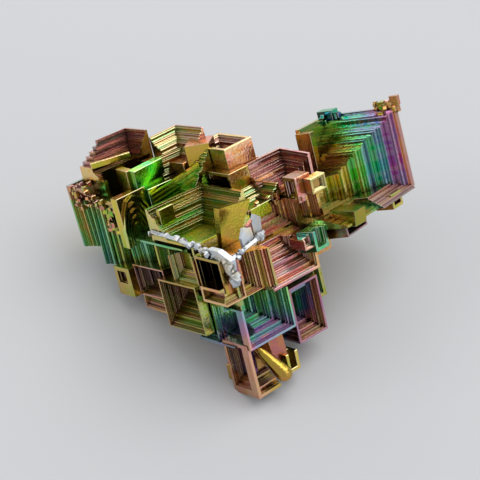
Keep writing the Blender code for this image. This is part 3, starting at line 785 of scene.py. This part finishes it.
def lump(centre, size, chance):
    """Corners of an uneven grain of metal."""
    points = chance.normal(size=(LUMP_CORNERS, 3))
    points /= np.linalg.norm(points, axis=1)[:, None]
    return [tuple(np.array(centre) + size / 2 * p) for p in points]


def seam_lumps(chance):
    """Uneven grains along the seam and its branch."""
    for count, line in ((SEAM_LUMPS * 2 // 3, SEAM), (SEAM_LUMPS // 3, SEAM_BRANCH)):
        for i in range(count):
            # Just short of the last point, so that a next point is always there.
            along = (len(line) - 1.001) * i / count
            start = np.array(line[int(along)])
            end = np.array(line[int(along) + 1])
            stray = chance.uniform(-SEAM_STRAY, SEAM_STRAY, 3)
            place = start + (end - start) * (along % 1) + stray
            least, most, more = SEAM_LUMP_SIZES
            yield lump(place, chance.uniform(least, most + more * i / count), chance)


def grain(low, high, size, film, chance):
    """A small crumbled cube, turned a little."""
    middle = chance.uniform(low, high)
    half = chance.uniform(*size, 3) / 2
    return crystal(film + chance.uniform(*GRAIN_FILM), tuple(middle - half),
                   tuple(middle + half), turn=tuple(chance.uniform(-GRAIN_TURN, GRAIN_TURN, 3)))


def drop_hull():
    """Corners of a small ball and a larger one; their hull is the drop."""
    corners = []
    for centre, radius in zip((DROP_START, DROP_BULB), DROP_RADII):
        for ring in range(-4, 5):
            for spoke in range(16):
                turn = spoke * math.pi / 8
                rise = ring * math.pi / 9
                corners.append((centre[0] + radius * math.cos(rise) * math.cos(turn),
                                centre[1] + radius * math.cos(rise) * math.sin(turn),
                                centre[2] + radius * math.sin(rise)))
    return corners


def all_parts():
    """Every crystal, grain and smaller shape, each a closed solid in world metres."""
    cluster = Matrix.Translation(HUB) @ axes(AXIS_B, AXIS_A)
    end = Matrix.Translation(cluster @ Vector(END_PLACE)) @ axes(END_AXIS_B, END_AXIS_A)
    number = 0
    for matrix, group in ((cluster, CLUSTER), (end, END)):
        cuts = {}
        for name, one in group.items():
            number += 1
            cuts[name] = pit_cuts(one, number)
        number -= len(group)
        for name, one in group.items():
            number += 1
            near = [cut for other in group for cut in cuts[other]
                    if name in group[other]["clears"]]
            yield crystal_object(name, one, matrix, number, cuts[name] + near)
    for name, (film, corners) in HULLS.items():
        yield hull_object(name, film, corners, dull=HULL_DULL if film > 0 else 0.0)
    chance = np.random.RandomState(11)
    frames = {"cluster": cluster, "end": end}
    for where, low, high, count, size, film in CRUMBLE:
        for i in range(count):
            number += 1
            one = grain(low, high, size, film, chance)
            yield crystal_object("grain", one, frames[where], number, [])
    for corners in ridge_hulls():
        change = chance.uniform(-RIDGE_FILM_CHANGE, RIDGE_FILM_CHANGE)
        yield hull_object("ridge", RIDGE_FILM + change, corners)
    for corners in arch_hulls():
        yield hull_object("arch", ARCH_FILM, corners, bare=ARCH_WEAR_AND_HIGHLIGHT)
    for line in (SEAM, SEAM_BRANCH):
        for corners in seam_hulls(line, SEAM_HALF):
            yield hull_object("seam", 0.0, corners)
    for corners in seam_lumps(chance):
        yield hull_object("seam", 0.0, corners)
    yield hull_object("drop", DROP_FILM, drop_hull(), dull=DROP_DULL)


def joined(parts):
    """One solid from overlapping solids."""
    group = bpy.data.collections.new("joined")
    for part in parts[1:]:
        bpy.context.scene.collection.objects.unlink(part)
        group.objects.link(part)
    union = parts[0].modifiers.new("union", "BOOLEAN")
    union.operation = "UNION"
    union.operand_type = "COLLECTION"
    union.collection = group
    union.solver = "MANIFOLD"
    whole = baked("joined", parts[0])
    for part in parts:
        bpy.data.objects.remove(part)
    bpy.data.collections.remove(group)
    return whole


def baked(name, source):
    graph = bpy.context.evaluated_depsgraph_get()
    mesh = bpy.data.meshes.new_from_object(source.evaluated_get(graph))
    return linked(name, mesh)


def keep_outer_shell(mesh):
    """Pits that a neighbour closed over are filled: only the largest connected surface stays."""
    shape = bmesh.new()
    shape.from_mesh(mesh)
    waiting = set(shape.faces)
    shells = []
    while waiting:
        front = [waiting.pop()]
        shell = list(front)
        while front:
            for edge in front.pop().edges:
                if len(edge.link_faces) != 2:
                    continue
                for other in edge.link_faces:
                    if other in waiting:
                        waiting.remove(other)
                        front.append(other)
                        shell.append(other)
        shells.append(shell)
    shells.sort(key=len)
    for shell in shells[:-1]:
        bmesh.ops.delete(shape, geom=shell, context="FACES")
    shape.to_mesh(mesh)
    shape.free()
    mesh.update()


def merge_flat(mesh):
    """Neighbouring faces in one plane become one, unless what they carry differs."""
    shape = bmesh.new()
    shape.from_mesh(mesh)
    layers = [shape.faces.layers.float[each] for each in PAINTS]
    for edge in shape.edges:
        values = [[face[layer] for layer in layers] for face in edge.link_faces]
        edge.seam = max(abs(a - b) for a, b in zip(*values)) > 1e-4 if len(values) == 2 else True
    bmesh.ops.dissolve_limit(shape, angle_limit=0.001, verts=shape.verts, edges=shape.edges,
                             delimit={"SEAM"})
    shape.to_mesh(mesh)
    shape.free()
    mesh.update()


def cut_flat(body):
    """Worn contact corners: everything under the floor plane goes."""
    shape = bmesh.new()
    bmesh.ops.create_cube(shape, size=2)
    size = FAR * MM
    bmesh.ops.scale(shape, vec=(size * 2, size * 2, size / 2), verts=shape.verts)
    bmesh.ops.translate(shape, vec=(0, 0, -size / 2), verts=shape.verts)
    mesh = bpy.data.meshes.new("under_floor")
    shape.to_mesh(mesh)
    shape.free()
    block = linked("under_floor", mesh)
    cut = body.modifiers.new("flat", "BOOLEAN")
    cut.operation = "DIFFERENCE"
    cut.object = block
    cut.solver = "MANIFOLD"
    flat = baked("crystal_cluster", body)
    bpy.data.objects.remove(body)
    bpy.data.objects.remove(block)
    keep_outer_shell(flat.data)
    merge_flat(flat.data)
    return flat


class Nodes:
    """Adds shader nodes by type name and links them in one call."""

    def __init__(self, material):
        material.use_nodes = True
        self.tree = material.node_tree
        self.shader = self.tree.nodes["Principled BSDF"]

    def add(self, kind, settings=None, **inputs):
        node = self.tree.nodes.new("ShaderNode" + kind)
        for key, value in (settings or {}).items():
            setattr(node, key, value)
        for key, value in inputs.items():
            self.put(node.inputs[int(key[1:])], value)
        return node

    def put(self, socket, value):
        if isinstance(value, bpy.types.NodeSocket):
            self.tree.links.new(value, socket)
        else:
            socket.default_value = value

    def math(self, operation, first, second=0.0, third=0.0):
        node = self.add("Math", {"operation": operation}, _0=first, _1=second, _2=third)
        return node.outputs[0]


def shade(nodes, limits):
    """How much light reaches a place: 1 in the open, less in anything narrower than the reach."""
    reach, lost, kept = limits
    node = nodes.add("AmbientOcclusion", {"samples": 6})
    node.inputs["Distance"].default_value = reach
    return nodes.math("MULTIPLY_ADD", node.outputs["AO"], lost, kept)


def mixed(nodes, share, first, second):
    node = nodes.add("Mix", {"data_type": "RGBA"})
    nodes.put(node.inputs["Factor"], share)
    nodes.put(node.inputs["A"], first)
    nodes.put(node.inputs["B"], second)
    return node.outputs["Result"]


def oxide_ramp(nodes, thick):
    ramp = nodes.add("ValToRGB", _0=thick)
    stops = ramp.color_ramp.elements
    while len(stops) < len(OXIDE):
        stops.new(1.0)
    for stop, (position, colour) in zip(stops, OXIDE):
        stop.position = position
        stop.color = (*colour, 1)
    return ramp.outputs[0]


def oxidised_bismuth():
    """Bare metal under a clear film whose thickness gives its colour."""
    material = bpy.data.materials.new("oxidised_bismuth")
    nodes = Nodes(material)
    film, wear_and_highlight, dullness_and_painted_shade = [nodes.add("Attribute", {"attribute_name": each}).outputs["Fac"]
                       for each in PAINTS]
    place = nodes.add("TexCoord").outputs["Object"]
    wide = nodes.add("TexNoise", _0=place, _2=WIDE_NOISE[0], _3=3.0).outputs[0]
    fine = nodes.add("TexNoise", _0=place, _2=FINE_NOISE[0], _3=3.0).outputs[0]
    thick = nodes.math("MULTIPLY_ADD", nodes.math("SUBTRACT", wide, 0.5), WIDE_NOISE[1], film)
    thick = nodes.math("MULTIPLY_ADD", nodes.math("SUBTRACT", fine, 0.5), FINE_NOISE[1], thick)
    # Pale gold for wear and painted highlight.
    wear_and_highlight_share = nodes.math("MULTIPLY", wear_and_highlight, PALE_WEAR_AND_HIGHLIGHT_SHARE)
    colour = mixed(nodes, wear_and_highlight_share, oxide_ramp(nodes, thick), PALE_WEAR_AND_HIGHLIGHT)
    # Painted shade: the colour darkens in grooves and deep hollows, and by each face's dullness,
    # which holds painted shade in some crystals' pits and painted light in the end block's.
    light = nodes.math("MULTIPLY", shade(nodes, GROOVE), shade(nodes, HOLLOW))
    light = nodes.math("MULTIPLY", light, nodes.math("SUBTRACT", 1.0, dullness_and_painted_shade))
    colour = mixed(nodes, light, (0.0, 0.0, 0.0, 1), colour)
    nodes.put(nodes.shader.inputs["Base Color"], colour)
    nodes.shader.inputs["Metallic"].default_value = 1.0
    bare = nodes.math("LESS_THAN", film, BARE_FILM)
    rough = nodes.math("MULTIPLY_ADD", fine, ROUGH[0], ROUGH[1])
    rough = nodes.math("MULTIPLY_ADD", bare, ROUGH[2], rough)
    nodes.put(nodes.shader.inputs["Roughness"], rough)
    bump = nodes.add("Bump")
    bump.inputs["Strength"].default_value = BUMP_STRENGTH
    bump.inputs["Distance"].default_value = BUMP_METRES
    nodes.put(bump.inputs["Height"], fine)
    nodes.put(nodes.shader.inputs["Normal"], bump.outputs[0])
    return material


def floor():
    mesh = bpy.data.meshes.new("floor")
    side = FLOOR_HALF
    mesh.from_pydata([(-side, -side, 0), (side, -side, 0), (side, side, 0), (-side, side, 0)],
                     [], [(0, 1, 2, 3)])
    made = linked("floor", mesh)
    material = bpy.data.materials.new("pale_floor")
    nodes = Nodes(material)
    nodes.shader.inputs["Base Color"].default_value = FLOOR_COLOUR
    nodes.shader.inputs["Roughness"].default_value = FLOOR_ROUGH
    mesh.materials.append(material)


def studio():
    world = bpy.data.worlds.new("studio")
    bpy.context.scene.world = world
    world.use_nodes = True
    sky = world.node_tree.nodes["Background"]
    sky.inputs[0].default_value = SKY_COLOUR
    sky.inputs[1].default_value = SKY_STRENGTH
    for name, (place, aim, size, power) in LIGHTS.items():
        data = bpy.data.lights.new(name, "AREA")
        data.shape = "DISK"
        data.size = size
        data.energy = power
        made = linked(name, data)
        made.location = place
        made.rotation_euler = (Vector(aim) - Vector(place)).to_track_quat("-Z", "Y").to_euler()
    bpy.context.scene.view_settings.view_transform = "Standard"


def camera():
    data = bpy.data.cameras.new("camera")
    data.lens = CAMERA_LENS
    data.clip_start = 0.01
    made = linked("camera", data)
    made.rotation_euler = (CAMERA_TILT, 0, 0)
    right, up = CAMERA_OFFSET_MM
    place = Vector(HUB) + made.rotation_euler.to_matrix() @ Vector((right, up, CAMERA_AWAY_MM))
    made.location = place * MM
    bpy.context.scene.camera = made


def main():
    body = cut_flat(joined(list(all_parts())))
    body.data.materials.clear()
    body.data.materials.append(oxidised_bismuth())
    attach(body, "root")
    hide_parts(NODE)
    floor()
    studio()
    camera()


main()
